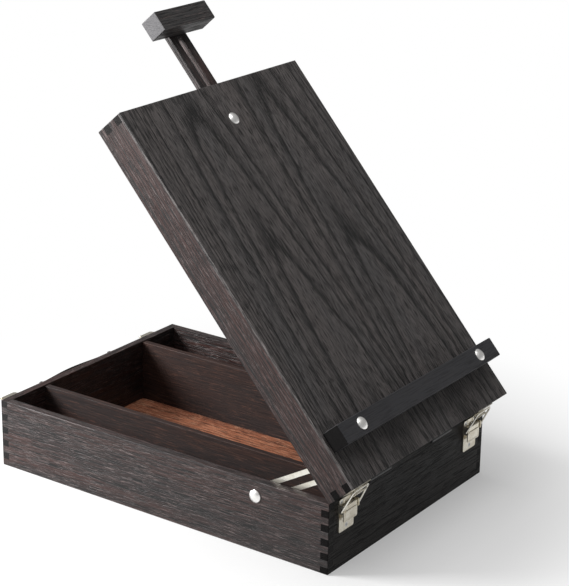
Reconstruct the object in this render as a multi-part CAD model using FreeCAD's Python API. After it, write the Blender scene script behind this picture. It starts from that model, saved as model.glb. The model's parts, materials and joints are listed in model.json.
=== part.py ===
import FreeCAD, Part
import math
import os

from FreeCAD import Vector

# A table-top sketch-box easel in black-stained wood, standing open.
# Millimetres. +X is to the right of the person painting, +Y is away from them, +Z is up.
# The origin is the centre of the box's underside.
# The lid is modelled shut and then turned up about its hinge line.

# Box
box_width = 277.0
box_depth = 400.0
box_height = 71.0
wall = 8.5
floor_thickness = 4.0
box_fingers = 10
edge_round = 0.8
divider_thickness = 6.5
divider_offset = 79.0           # middle of the box to the middle of a divider
divider_drop = 1.0              # divider's top edge below the rim
housing_depth = 3.0             # how far a divider's end is let into the wall

# Lid
lid_angle = 48.7                # how far the lid stands open
rim_gap = 0.3                   # between the shut lid and the box
lid_frame_depth = 31.5
lid_fingers = 4
panel_thickness = 3.3

# Hinges
hinge_offset = 55.0             # middle of the box to the middle of a hinge
hinge_length = 36.0
hinge_leaf_depth = 7.0
hinge_leaf_thickness = 1.0
knuckle_radius = 2.0
hinge_pin_radius = 1.0
knuckle_clearance = 0.4
hinge_screw_spacing = 22.0

# Ledge
ledge_inset = 2.5               # lid's side to the ledge's end
ledge_height = 20.0
ledge_depth = 20.0
ledge_rise = 36.0               # lid's lower end to the ledge's lower face
ledge_bolt_inset = 31.0         # ledge's end to its bolt

# Mast
mast_width = 26.0
mast_thickness = 6.1
mast_length = 380.0
mast_rise = 80.0                # lid's upper end to the top of the mast, as it stands
mast_slot_width = 7.0
mast_slot_top_margin = 22.0
mast_slot_bottom_margin = 25.0
mast_play = 0.3
mast_bolt_inset = 39.0          # lid's upper end to the clamp bolt
head_width = 78.0
head_height = 20.5
head_depth = 21.0
guide_width = 10.0
guide_bottom = 90.0
bridge_thickness = 3.0
bridge_height = 15.0
bridge_inset = 82.0             # lid's upper end to the bridge's lower edge

# Stays: slotted bars between the lid's side rails and bolts in the box's side walls
stay_width = 16.6
stay_thickness = 1.6
stay_slot_width = 7.2
stay_slot_start = 14.0          # pivot to the near end of the slot
stay_slot_end = 100.0
stay_length = 108.0             # pivot to the far end of the bar
stay_pivot_rise = 24.0          # lid's lower end to the stay's pivot
stay_pivot_depth = 20.0         # lid's rim to the stay's pivot
stay_bolt_back = 82.0           # box front to the stay's bolt
stay_bolt_drop = 15.0           # box rim to the stay's bolt
stay_slot_lean = 0.77           # how far the slot's centre line passes under the bolt
stay_play = 0.1

# Fasteners
bolt_radius = 3.0
stay_bolt_radius = 2.0
stay_pivot_radius = 2.0
bolt_head_radius = 6.2
bolt_head_height = 3.0
washer_radius = 7.0
washer_thickness = 1.0
thread_clearance = 0.05
nut_hub_radius = 4.6
nut_hub_height = 6.0
wing_radius = 12.5
wing_thickness = 2.2
stay_nut_twist = 72.0           # how far the stays' wing nuts stand turned from upright
hex_nut_radius = 5.8
hex_nut_height = 5.0
wood_screw_radius = 1.1
wood_screw_head_radius = 2.3
wood_screw_head_height = 1.2
wood_screw_length = 6.0
cross_arm = 1.3
cross_width = 0.5
cross_depth = 0.6

# Draw latches: base plate and lever on the box, wire bail, keeper on the lid
latch_inset = 27.5              # box's side to the middle of a latch
latch_plate_half = 12.0
latch_plate_thickness = 1.0
latch_plate_bottom = 34.5       # box rim down to the plate's lower edge
latch_plate_top = 1.5           # box rim down to the plate's upper edge
latch_ear_thickness = 1.0
latch_ear_inside = 11.6
latch_ear_reach = 6.6
lever_half = 11.0
lever_length = 14.5
lever_thickness = 1.0
lever_pin_drop = 9.0            # box rim down to the lever's pin
lever_pin_out = 3.5             # wall face to the lever's pin
lever_pin_radius = 0.9
lever_barrel_radius = 1.8
lever_open_at_back = 85.0
bail_pin_drop = 12.0
bail_pin_out = 4.5
bail_wire_radius = 0.9
bail_foot_half = 14.4
bail_bar_half = 11.9
bail_length = 26.0
bail_lean = 27.0                # front bails lean forward over the keepers
pin_clearance = 0.05
keeper_half = 13.0
keeper_bottom = 3.0
keeper_top = 24.0
keeper_thickness = 1.0
hook_half = 9.5
hook_root = 11.6
hook_reach = 5.2
hook_tip = 17.5
hook_thickness = 1.0
hook_ribs = 8

# Leather handle on the back wall: brackets, wire rings and the strap between the rings
handle_half = 55.0              # middle of the box to a ring's bars
handle_drop = 27.4              # box rim down to the handle's middle line
ring_axis_out = 3.0             # wall face to the ring's inner bar
ring_reach = 20.5               # inner bar to outer bar
ring_half_height = 14.0
ring_wire = 1.3
ring_bend = 3.0
strap_width = 22.0
strap_thickness = 2.0
strap_bow = 4.0
strap_tail = 25.0               # how far the folded end lies back along the strap
strap_play = 0.25               # round the ring's bar
bracket_thickness = 1.0
bracket_half_height = 11.0
bracket_inner = 4.0             # ring's bar to the plate's edge towards the middle
bracket_outer = 12.0            # ring's bar to the plate's other edge
bracket_barrel = 2.4
bracket_barrel_half = 8.5
bracket_screw_out = 7.5         # ring's bar to the screws
bracket_screw_rise = 6.0

half_width = box_width / 2
half_depth = box_depth / 2
lid_depth = lid_frame_depth + panel_thickness
hinge_line = Vector(0, -half_depth, box_height)
mast_front = lid_frame_depth - mast_play
mast_back = mast_front - mast_thickness
mast_top = box_depth + mast_rise
mast_bottom = mast_top - mast_length
mast_bolt_rise = box_depth - mast_bolt_inset
bridge_rise = box_depth - bridge_inset
ledge_length = box_width - 2 * ledge_inset
ledge_bolt_offset = ledge_length / 2 - ledge_bolt_inset
latch_offset = half_width - latch_inset
overlap = 1.0                   # how far cutting tools run past a face


def block(x0, x1, y0, y1, z0, z1):
    corner = Vector(min(x0, x1), min(y0, y1), min(z0, z1))
    return Part.makeBox(abs(x1 - x0), abs(y1 - y0), abs(z1 - z0), corner)


def rod(radius, start, end):
    run = end - start
    return Part.makeCylinder(radius, run.Length, start, run)


def soften(shape, radius, wanted):
    edges = [edge for edge in shape.Edges if wanted(edge)]
    return shape.makeFillet(radius, edges)


def turn_about(shape, centre, angle):
    turned = shape.copy()
    turned.rotate(centre, Vector(1, 0, 0), angle)
    return turned


def fuse_all(shapes):
    whole = shapes[0].multiFuse(shapes[1:]) if len(shapes) > 1 else shapes[0]
    return whole.removeSplitter()


def lid_block(x0, x1, u0, u1, v0, v1):
    """u runs up the lid from its hinged end, v runs out of the shut lid's rim."""
    return block(x0, x1, u0 - half_depth, u1 - half_depth, v0 + box_height, v1 + box_height)


def lid_point(x, u, v):
    return Vector(x, u - half_depth, v + box_height)


def raise_lid(shape):
    return turn_about(shape, hinge_line, lid_angle)


def swap_ends(shape):
    turned = shape.copy()
    turned.rotate(Vector(0, 0, 0), Vector(0, 0, 1), 180)
    return turned


def domed_bolt(face, outward, radius, length):
    """A low domed head on the face, with a plain shank of the given length behind it."""
    rim = 0.8
    dome_height = bolt_head_height - rim
    sphere_radius = (bolt_head_radius ** 2 + dome_height ** 2) / (2 * dome_height)
    centre = face + outward * (bolt_head_height - sphere_radius)
    dome = Part.makeSphere(sphere_radius, centre)
    seat = rod(bolt_head_radius, face, face + outward * bolt_head_height)
    head = seat.common(dome)
    return head.fuse(rod(radius, face + outward * 0.1, face - outward * length)).removeSplitter()


def ring(face, outward, outer, inner, thickness):
    end = face + outward * thickness
    return rod(outer, face, end).cut(rod(inner, face - outward, end + outward))


def wing_nut(face, outward, hole, twist=0):
    """Built along +X at the origin, wings in the XZ plane, then turned to its place."""
    hub = Part.makeCone(nut_hub_radius, nut_hub_radius * 0.8, nut_hub_height, Vector(0, 0, 0), Vector(1, 0, 0))
    tip_radius = 3.6
    tip = wing_radius - tip_radius
    rise = nut_hub_height + 1.5
    wings = []
    for side in (1, -1):
        foot = Vector(0.8, -wing_thickness / 2, side * nut_hub_radius * 0.5)
        shoulder = Vector(nut_hub_height - 0.8, -wing_thickness / 2, side * nut_hub_radius * 0.5)
        outer = Vector(rise - tip_radius * 0.7, -wing_thickness / 2, side * (tip + tip_radius * 0.7))
        inner = Vector(rise + tip_radius * 0.5, -wing_thickness / 2, side * (tip - tip_radius * 0.8))
        web = Part.Face(Part.makePolygon([foot, outer, inner, shoulder, foot]))
        wings.append(web.extrude(Vector(0, wing_thickness, 0)))
        ear = Vector(rise, -wing_thickness / 2, side * tip)
        wings.append(Part.makeCylinder(tip_radius, wing_thickness, ear, Vector(0, 1, 0)))
    nut = fuse_all([hub] + wings)
    nut = nut.cut(rod(hole, Vector(-overlap, 0, 0), Vector(nut_hub_height + overlap, 0, 0)))
    twisted = turn_about(nut, Vector(0, 0, 0), twist)
    twisted.Placement = FreeCAD.Placement(face, FreeCAD.Rotation(Vector(1, 0, 0), outward)) * twisted.Placement
    return twisted


def hex_nut(face, outward, hole):
    points = []
    for corner in range(7):
        angle = math.radians(60 * corner)
        points.append(Vector(0, hex_nut_radius * math.cos(angle), hex_nut_radius * math.sin(angle)))
    nut = Part.Face(Part.makePolygon(points)).extrude(Vector(hex_nut_height, 0, 0))
    nut = nut.cut(rod(hole, Vector(-overlap, 0, 0), Vector(hex_nut_height + overlap, 0, 0)))
    nut.Placement = FreeCAD.Placement(face, FreeCAD.Rotation(Vector(1, 0, 0), outward))
    return nut


def screw_blank(face, outward):
    """A countersunk wood screw before its cross is cut, and the hole that it fills."""
    head = Part.makeCone(wood_screw_head_radius, wood_screw_radius, wood_screw_head_height, face,
                         outward * -1)
    shank = rod(wood_screw_radius, face - outward * wood_screw_head_height,
                face - outward * wood_screw_length)
    return head.fuse(shank).removeSplitter()


def wood_screw(face, outward):
    screw = screw_blank(face, outward)
    if abs(outward.x) < 0.5:
        across = Vector(1, 0, 0)
    else:
        across = Vector(0, 1, 0)
    along = outward.cross(across)
    for first, second in ((across, along), (along, across)):
        length = first * (2 * cross_arm)
        width = second * cross_width
        corner = face - length / 2 - width / 2
        outline = Part.makePolygon([corner, corner + length, corner + length + width,
                                    corner + width, corner])
        slot = Part.Face(outline).extrude(outward * -cross_depth)
        screw = screw.cut(slot)
    return screw


def frame_with_fingers(blank, low, high, count, first_is_side):
    """Splits a hollow frame into four walls whose corners are comb-jointed.

    first_is_side says, for the front and the back, whether the topmost finger is the side wall's.
    """
    step = (high - low) / count
    side_regions = []
    for side in (-1, 1):
        inner = side * (half_width - wall)
        side_regions.append(block(inner, side * half_width + side, -half_depth + wall,
                                  half_depth - wall, low - overlap, high + overlap))
    for end, side_first in ((-1, first_is_side[0]), (1, first_is_side[1])):
        for finger in range(count):
            from_top = count - 1 - finger
            if (from_top % 2 == 0) != side_first:
                continue
            bottom = low + finger * step - (overlap if finger == 0 else 0)
            top = low + (finger + 1) * step + (overlap if finger == count - 1 else 0)
            for index, side in enumerate((-1, 1)):
                y_in = end * (half_depth - wall)
                tooth = block(side * (half_width - wall), side * (half_width + overlap),
                              y_in, end * (half_depth + overlap), bottom, top)
                side_regions[index] = side_regions[index].fuse(tooth)
    left = blank.common(side_regions[0])
    right = blank.common(side_regions[1])
    ends = blank.cut([left, right])
    front = [s for s in ends.Solids if s.CenterOfMass.y < 0][0]
    back = [s for s in ends.Solids if s.CenterOfMass.y > 0][0]
    return front, back, left.removeSplitter(), right.removeSplitter()


def rounded_block(z0, z1, keep_bottom_sharp):
    solid = block(-half_width, half_width, -half_depth, half_depth, z0, z1)

    def outer_edge(edge):
        return not (keep_bottom_sharp and abs(edge.BoundBox.ZMax - z0) < 0.01)

    return soften(solid, edge_round, outer_edge)


def make_box_walls():
    blank = rounded_block(0, box_height, False)
    pocket = block(-half_width + wall, half_width - wall, -half_depth + wall, half_depth - wall,
                   -overlap, box_height + overlap)
    return frame_with_fingers(blank.cut(pocket), 0, box_height, box_fingers, (True, False))


def make_floor():
    return block(-half_width + wall, half_width - wall, -half_depth + wall, half_depth - wall,
                 0, floor_thickness)


def make_divider(side):
    middle = side * divider_offset
    end = half_depth - wall + housing_depth
    solid = block(middle - divider_thickness / 2, middle + divider_thickness / 2, -end, end,
                  floor_thickness, box_height - divider_drop)
    return soften(solid, 0.6, lambda e: e.Length > box_depth / 2 and e.BoundBox.ZMin > box_height / 2)


def make_lid_frame_and_panel():
    whole = rounded_block(box_height + rim_gap, box_height + lid_depth, True)
    seam = box_height + lid_frame_depth
    below = block(-box_width, box_width, -box_depth, box_depth, 0, seam)
    panel = whole.cut(below)
    pocket = block(-half_width + wall, half_width - wall, -half_depth + wall, half_depth - wall,
                   box_height, seam + overlap)
    frame = whole.common(below).cut(pocket)
    rails = frame_with_fingers(frame, box_height + rim_gap, seam, lid_fingers, (False, False))
    return rails, panel


def make_hinge(side):
    """Returns the box leaf, lid leaf, pin and the cylinder that the knuckles need."""
    middle = side * hinge_offset
    start = middle - hinge_length / 2
    third = hinge_length / 3
    joint = 0.15
    leaf_back = -half_depth + hinge_leaf_depth
    box_leaf = block(start, start + hinge_length, -half_depth, leaf_back,
                     box_height - hinge_leaf_thickness, box_height)
    lid_leaf = block(start, start + hinge_length, -half_depth, leaf_back,
                     box_height + rim_gap, box_height + rim_gap + hinge_leaf_thickness)

    def barrel(x0, x1, radius):
        return rod(radius, Vector(x0, -half_depth, box_height), Vector(x1, -half_depth, box_height))

    bore = barrel(start - overlap, start + hinge_length + overlap, hinge_pin_radius + pin_clearance)
    own_on_box = [barrel(start, start + third - joint, knuckle_radius),
                  barrel(start + 2 * third + joint, start + hinge_length, knuckle_radius)]
    own_on_lid = [barrel(start + third + joint, start + 2 * third - joint, knuckle_radius)]
    room_for_lid = barrel(start + third - joint, start + 2 * third + joint,
                          knuckle_radius + knuckle_clearance)
    room_for_box = [barrel(start - joint, start + third + joint, knuckle_radius + knuckle_clearance),
                    barrel(start + 2 * third - joint, start + hinge_length + joint,
                           knuckle_radius + knuckle_clearance)]
    box_leaf = box_leaf.cut(room_for_lid)
    box_leaf = fuse_all([box_leaf] + own_on_box).cut(bore)
    lid_leaf = lid_leaf.cut(room_for_box)
    lid_leaf = fuse_all([lid_leaf] + own_on_lid).cut(bore)
    pin = barrel(start, start + hinge_length, hinge_pin_radius)
    room = barrel(start - joint, start + hinge_length + joint, knuckle_radius + knuckle_clearance)
    return box_leaf, lid_leaf, pin, room


def hinge_screw_points(side, level):
    row = -half_depth + hinge_leaf_depth * 0.62
    middle = side * hinge_offset
    half = hinge_screw_spacing / 2
    return [Vector(middle - half, row, level), Vector(middle + half, row, level)]


def make_latch_base(middle):
    """A plate on the front wall, folded at its sides into two ears that hold the pins."""
    face = -half_depth
    front = face - latch_plate_thickness
    low = box_height - latch_plate_bottom
    high = box_height - latch_plate_top
    plate = block(middle - latch_plate_half, middle + latch_plate_half, front, face, low, high)
    plate = soften(plate, 2.0, lambda e: abs(e.BoundBox.YLength - latch_plate_thickness) < 0.01
                   and e.BoundBox.ZLength < 0.01 and e.BoundBox.XLength < 0.01)
    pieces = [plate]
    pin_z = box_height - lever_pin_drop
    bail_z = box_height - bail_pin_drop
    for side in (-1, 1):
        inside = middle + side * latch_ear_inside
        outside = middle + side * (latch_ear_inside + latch_ear_thickness)
        ear = block(inside, outside, face - latch_ear_reach, face, bail_z - 2.6, pin_z + 3.0)
        ear = soften(ear, 1.6, lambda e: abs(e.BoundBox.XLength - latch_ear_thickness) < 0.01
                     and e.BoundBox.YMax < face - 1)
        pieces.append(ear)
    for place in (-0.45, 0.45):
        bead = rod(0.9, Vector(middle + place * latch_plate_half, front, high - 5.2),
                   Vector(middle + place * latch_plate_half, front, high - 0.9))
        pieces.append(bead)
    base = fuse_all(pieces)
    reach = latch_ear_inside + latch_ear_thickness + overlap
    lever_hole = rod(lever_pin_radius, Vector(middle - reach, face - lever_pin_out, pin_z),
                     Vector(middle + reach, face - lever_pin_out, pin_z))
    bail_hole = rod(bail_wire_radius + pin_clearance, Vector(middle - reach, face - bail_pin_out, bail_z),
                    Vector(middle + reach, face - bail_pin_out, bail_z))
    return base.cut([lever_hole, bail_hole])


def latch_screw_points(middle):
    face = -half_depth - latch_plate_thickness
    return [Vector(middle, face, box_height - latch_plate_bottom + 4.6),
            Vector(middle - 8.6, face, box_height - latch_plate_top - 3.0),
            Vector(middle + 8.6, face, box_height - latch_plate_top - 3.0)]


def make_lever_pin(middle):
    reach = latch_ear_inside + latch_ear_thickness
    y = -half_depth - lever_pin_out
    z = box_height - lever_pin_drop
    return rod(lever_pin_radius, Vector(middle - reach, y, z), Vector(middle + reach, y, z))


def make_lever(middle):
    """A plate curled round its pin, with a lip at its free end to lift it by."""
    y = -half_depth - lever_pin_out
    z = box_height - lever_pin_drop
    outer = y - lever_barrel_radius
    inner = outer + lever_thickness
    low = z - lever_length
    plate = block(middle - lever_half, middle + lever_half, outer, inner, low, z)
    plate = soften(plate, 2.2, lambda e: abs(e.BoundBox.YLength - lever_thickness) < 0.01
                   and e.BoundBox.ZMax < low + 0.1 and e.BoundBox.XLength < 0.01)
    lip = rod(0.9, Vector(middle - lever_half + 2.4, outer + 0.5, low + 0.9),
              Vector(middle + lever_half - 2.4, outer + 0.5, low + 0.9))
    barrel = rod(lever_barrel_radius, Vector(middle - lever_half, y, z), Vector(middle + lever_half, y, z))
    rib = rod(0.8, Vector(middle - lever_half + 2.0, outer, z - 4.0),
              Vector(middle + lever_half - 2.0, outer, z - 4.0))
    lever = fuse_all([plate, barrel, lip, rib])
    hole = rod(lever_pin_radius + pin_clearance, Vector(middle - lever_half - overlap, y, z),
               Vector(middle + lever_half + overlap, y, z))
    return lever.cut(hole)


def make_bail(middle, lean):
    """A wire frame: two pins in the ears, two legs drawn together, and the bar that hooks on."""
    y = -half_depth - bail_pin_out
    z = box_height - bail_pin_drop
    pin_in = latch_ear_inside + 0.1
    bend = 2.6
    corners = [Vector(-pin_in, y, z), Vector(-bail_foot_half, y, z),
               Vector(-bail_bar_half, y, z + bail_length), Vector(bail_bar_half, y, z + bail_length),
               Vector(bail_foot_half, y, z), Vector(pin_in, y, z)]
    bends = [0, 1.2, bend, bend, 1.2, 0]
    edges = []
    last = corners[0]
    for index in range(1, len(corners) - 1):
        before = (corners[index - 1] - corners[index]).normalize()
        after = (corners[index + 1] - corners[index]).normalize()
        half_turn = before.getAngle(after) / 2
        cut_back = bends[index] / math.tan(half_turn)
        start = corners[index] + before * cut_back
        end = corners[index] + after * cut_back
        inward = (before + after).normalize()
        middle_point = corners[index] + inward * (bends[index] / math.sin(half_turn) - bends[index])
        edges.append(Part.LineSegment(last, start).toShape())
        edges.append(Part.Arc(start, middle_point, end).toShape())
        last = end
    edges.append(Part.LineSegment(last, corners[-1]).toShape())
    path = Part.Wire(edges)
    profile = Part.Wire(Part.makeCircle(bail_wire_radius, corners[0], Vector(-1, 0, 0)))
    bail = path.makePipeShell([profile], True, False)
    bail.translate(Vector(middle, 0, 0))
    bail.rotate(Vector(0, y, z), Vector(1, 0, 0), lean)
    return bail


def make_keeper(middle):
    """A plate on the shut lid's end, with a ribbed hook that opens away from the box."""
    face = -half_depth
    plate = block(middle - keeper_half, middle + keeper_half, face - keeper_thickness, face,
                  box_height + keeper_bottom, box_height + keeper_top)
    plate = soften(plate, 2.0, lambda e: abs(e.BoundBox.YLength - keeper_thickness) < 0.01
                   and e.BoundBox.ZLength < 0.01 and e.BoundBox.XLength < 0.01)
    out = face - hook_reach
    shelf = block(middle - hook_half, middle + hook_half, out, face,
                  box_height + hook_root, box_height + hook_root + hook_thickness)
    lip = block(middle - hook_half, middle + hook_half, out, out + hook_thickness,
                box_height + hook_root, box_height + hook_tip)
    hook = shelf.fuse(lip).removeSplitter()
    hook = soften(hook, 0.9, lambda e: e.Length > hook_half and e.BoundBox.YMax < out + 0.01
                  and e.BoundBox.ZMax < box_height + hook_root + 0.01)
    pieces = [plate, hook]
    step = 2 * hook_half / hook_ribs
    for rib in range(hook_ribs):
        x = middle - hook_half + (rib + 0.5) * step
        pieces.append(rod(0.55, Vector(x, out + 0.1, box_height + hook_root + 1.2),
                          Vector(x, out + 0.1, box_height + hook_tip - 0.6)))
    return fuse_all(pieces)


def keeper_screw_points(middle):
    face = -half_depth - keeper_thickness
    return [Vector(middle - 7.0, face, box_height + keeper_bottom + 4.2),
            Vector(middle + 7.0, face, box_height + keeper_bottom + 4.2)]


def make_ledge():
    middle = ledge_length / 2
    solid = lid_block(-middle, middle, ledge_rise, ledge_rise + ledge_height,
                      lid_depth, lid_depth + ledge_depth)
    return soften(solid, 0.9, lambda e: True)


def ledge_bolt_points():
    u = ledge_rise + ledge_height / 2
    return [lid_point(side * ledge_bolt_offset, u, lid_depth + ledge_depth) for side in (-1, 1)]


def make_mast_bar():
    solid = lid_block(-mast_width / 2, mast_width / 2, mast_bottom, mast_top, mast_back, mast_front)
    solid = soften(solid, 0.7, lambda e: e.Length > mast_length / 2)
    slot_top = mast_top - mast_slot_top_margin - mast_slot_width / 2
    slot_bottom = mast_bottom + mast_slot_bottom_margin + mast_slot_width / 2
    slot = lid_block(-mast_slot_width / 2, mast_slot_width / 2, slot_bottom, slot_top,
                     mast_back - overlap, mast_front + overlap)
    for end in (slot_bottom, slot_top):
        slot = slot.fuse(rod(mast_slot_width / 2, lid_point(0, end, mast_back - overlap),
                             lid_point(0, end, mast_front + overlap)))
    bar = solid.cut(slot)
    return soften(bar, 0.5, lambda e: e.Length > mast_length / 2
                  and abs(e.BoundBox.Center.x) < mast_slot_width)


def make_mast_head():
    solid = lid_block(-head_width / 2, head_width / 2, mast_top - head_height, mast_top,
                      mast_front, mast_front + head_depth)
    return soften(solid, 0.9, lambda e: True)


def head_screw_points():
    return [lid_point(side * 8.0, mast_top - head_height / 2, mast_back) for side in (-1, 1)]


def make_guide(side):
    inner = side * (mast_width / 2 + mast_play)
    return lid_block(inner, inner + side * guide_width, guide_bottom, box_depth - wall,
                     mast_back - mast_play, lid_frame_depth)


def make_bridge():
    reach = mast_width / 2 + mast_play + guide_width
    top = mast_back - mast_play
    return lid_block(-reach, reach, bridge_rise, bridge_rise + bridge_height,
                     top - bridge_thickness, top)


def mast_notch():
    reach = mast_width / 2 + mast_play
    return lid_block(-reach, reach, box_depth - wall - overlap, box_depth + overlap,
                     mast_back - mast_play, lid_frame_depth + overlap)


def stay_pivot_point(side, inboard):
    return lid_point(side * (half_width - wall - inboard), stay_pivot_rise, stay_pivot_depth)


def stay_bolt_point(side, inboard):
    return Vector(side * (half_width - wall - inboard), -half_depth + stay_bolt_back,
                  box_height - stay_bolt_drop)


def make_stay(side):
    """A flat bar from the raised lid's pivot, past the bolt in the side wall."""
    near = washer_thickness + stay_play
    pivot = raised_point(stay_pivot_point(side, near))
    bolt = stay_bolt_point(side, near)
    reach = (bolt - pivot).Length
    aim = math.atan2(bolt.z - pivot.z, bolt.y - pivot.y) - stay_slot_lean / reach
    half = stay_width / 2
    x0 = 0
    x1 = stay_thickness
    straight = stay_length - half
    bar = block(x0, x1, 0, straight, -half, half)
    bar = fuse_all([bar, rod(half, Vector(x0, 0, 0), Vector(x1, 0, 0)),
                    rod(half, Vector(x0, straight, 0), Vector(x1, straight, 0))])
    slot_half = stay_slot_width / 2
    start = stay_slot_start + slot_half
    end = stay_slot_end - slot_half
    slot = block(x0 - overlap, x1 + overlap, start, end, -slot_half, slot_half)
    tools = [slot]
    for place in (start, end):
        tools.append(rod(slot_half, Vector(x0 - overlap, place, 0), Vector(x1 + overlap, place, 0)))
    hole = stay_pivot_radius + pin_clearance
    tools.append(rod(hole, Vector(x0 - overlap, 0, 0), Vector(x1 + overlap, 0, 0)))
    bar = bar.cut(tools)
    bar.rotate(Vector(0, 0, 0), Vector(1, 0, 0), math.degrees(aim))
    inner_face = pivot.x if side < 0 else pivot.x - stay_thickness
    bar.translate(Vector(inner_face, pivot.y, pivot.z))
    return bar


def raised_point(point):
    marker = Part.Vertex(point)
    marker.rotate(hinge_line, Vector(1, 0, 0), lid_angle)
    return marker.Point


def make_stay_pivot(side):
    """A domed screw in the lid's side rail, with a spacer washer behind the stay."""
    inward = Vector(-side, 0, 0)
    stack = washer_thickness + 2 * stay_play + stay_thickness
    shank_end = stay_pivot_point(side, -wood_screw_length)
    head_face = stay_pivot_point(side, stack)
    head_radius = stay_pivot_radius + 2.2
    head = Part.makeCone(head_radius, head_radius - 1.2, 1.4, head_face, inward)
    screw = head.fuse(rod(stay_pivot_radius, shank_end, head_face + inward * 0.2)).removeSplitter()
    spacer = ring(stay_pivot_point(side, 0), inward, stay_width / 2 - 2, stay_pivot_radius,
                  washer_thickness)
    return screw, spacer


def handle_middle():
    return box_height - handle_drop


def make_handle_ring(side):
    """A closed rectangle of wire, its inner bar in the bracket and its outer bar in the strap's fold."""
    x = side * handle_half
    near = half_depth + ring_axis_out
    far = near + ring_reach
    low = handle_middle() - ring_half_height
    top = handle_middle() + ring_half_height
    corners = [Vector(x, near, low), Vector(x, far, low), Vector(x, far, top), Vector(x, near, top)]
    edges = []
    ends = []
    for index, corner in enumerate(corners):
        before = (corners[index - 1] - corner).normalize()
        after = (corners[(index + 1) % 4] - corner).normalize()
        start = corner + before * ring_bend
        end = corner + after * ring_bend
        middle = corner + (before + after) * (ring_bend * (1 - math.sqrt(0.5)))
        edges.append(Part.Arc(start, middle, end).toShape())
        ends.append((start, end))
    for index in range(4):
        edges.append(Part.LineSegment(ends[index - 1][1], ends[index][0]).toShape())
    path = Part.Wire(Part.__sortEdges__(edges))
    first = path.OrderedEdges[0]
    start = first.valueAt(first.FirstParameter)
    along = first.tangentAt(first.FirstParameter)
    profile = Part.Wire(Part.makeCircle(ring_wire, start, along))
    return path.makePipeShell([profile], True, False)


def make_handle_bracket(side):
    """A plate on the wall with a barrel that the ring's inner bar turns in."""
    x = side * handle_half
    middle = handle_middle()
    plate = block(x - side * bracket_inner, x + side * bracket_outer, half_depth,
                  half_depth + bracket_thickness, middle - bracket_half_height, middle + bracket_half_height)
    plate = soften(plate, 3.0, lambda e: abs(e.BoundBox.YLength - bracket_thickness) < 0.01
                   and e.BoundBox.ZLength < 0.01 and e.BoundBox.XLength < 0.01)
    axis_y = half_depth + ring_axis_out
    barrel = rod(bracket_barrel, Vector(x, axis_y, middle - bracket_barrel_half),
                 Vector(x, axis_y, middle + bracket_barrel_half))
    bore = rod(ring_wire + pin_clearance, Vector(x, axis_y, middle - bracket_half_height),
               Vector(x, axis_y, middle + bracket_half_height))
    return plate.fuse(barrel).cut(bore).removeSplitter()


def bracket_screw_points(side):
    x = side * (handle_half + bracket_screw_out)
    y = half_depth + bracket_thickness
    return [Vector(x, y, handle_middle() + rise) for rise in (-bracket_screw_rise, bracket_screw_rise)]


def make_handle_strap():
    """A leather strap bowed between the rings, each end folded round a bar and laid back inside."""
    low = handle_middle() - strap_width / 2
    bar_y = half_depth + ring_axis_out + ring_reach
    hole = ring_wire + strap_play
    inner = []
    outer = []
    steps = 8
    for step in range(steps + 1):
        x = handle_half * (2 * step / steps - 1)
        lift = strap_bow * 0.5 * (1 + math.cos(math.pi * x / handle_half))
        inner.append(Vector(x, bar_y + hole + lift, low))
        outer.append(Vector(x, bar_y + hole + strap_thickness + lift, low))
    flat = Vector(1, 0, 0)
    inner_curve = Part.BSplineCurve()
    inner_curve.interpolate(Points=inner, InitialTangent=flat, FinalTangent=flat)
    outer_curve = Part.BSplineCurve()
    outer_curve.interpolate(Points=outer, InitialTangent=flat, FinalTangent=flat)
    edges = [inner_curve.toShape(), Part.LineSegment(inner[-1], outer[-1]).toShape(),
             outer_curve.toShape(), Part.LineSegment(outer[0], inner[0]).toShape()]
    rise = Vector(0, 0, strap_width)
    layers = [Part.Face(Part.Wire(Part.__sortEdges__(edges))).extrude(rise)]
    holes = []
    for side in (-1, 1):
        bar = Vector(side * handle_half, bar_y, low)
        joined = side * (handle_half - strap_tail * 0.35)
        tip = side * (handle_half - strap_tail)
        points = [bar + Vector(0, -hole - strap_thickness, 0), Vector(joined, bar_y, low),
                  Vector(tip, bar_y + hole, low), Vector(tip, bar_y + hole + strap_thickness, low),
                  bar + Vector(0, hole + strap_thickness, 0)]
        layers.append(Part.Face(Part.makePolygon(points + points[:1])).extrude(rise))
        layers.append(rod(hole + strap_thickness, bar, bar + rise))
        holes.append(rod(hole, bar - Vector(0, 0, overlap), bar + rise + Vector(0, 0, overlap)))
    return fuse_all(layers).cut(holes)


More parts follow.
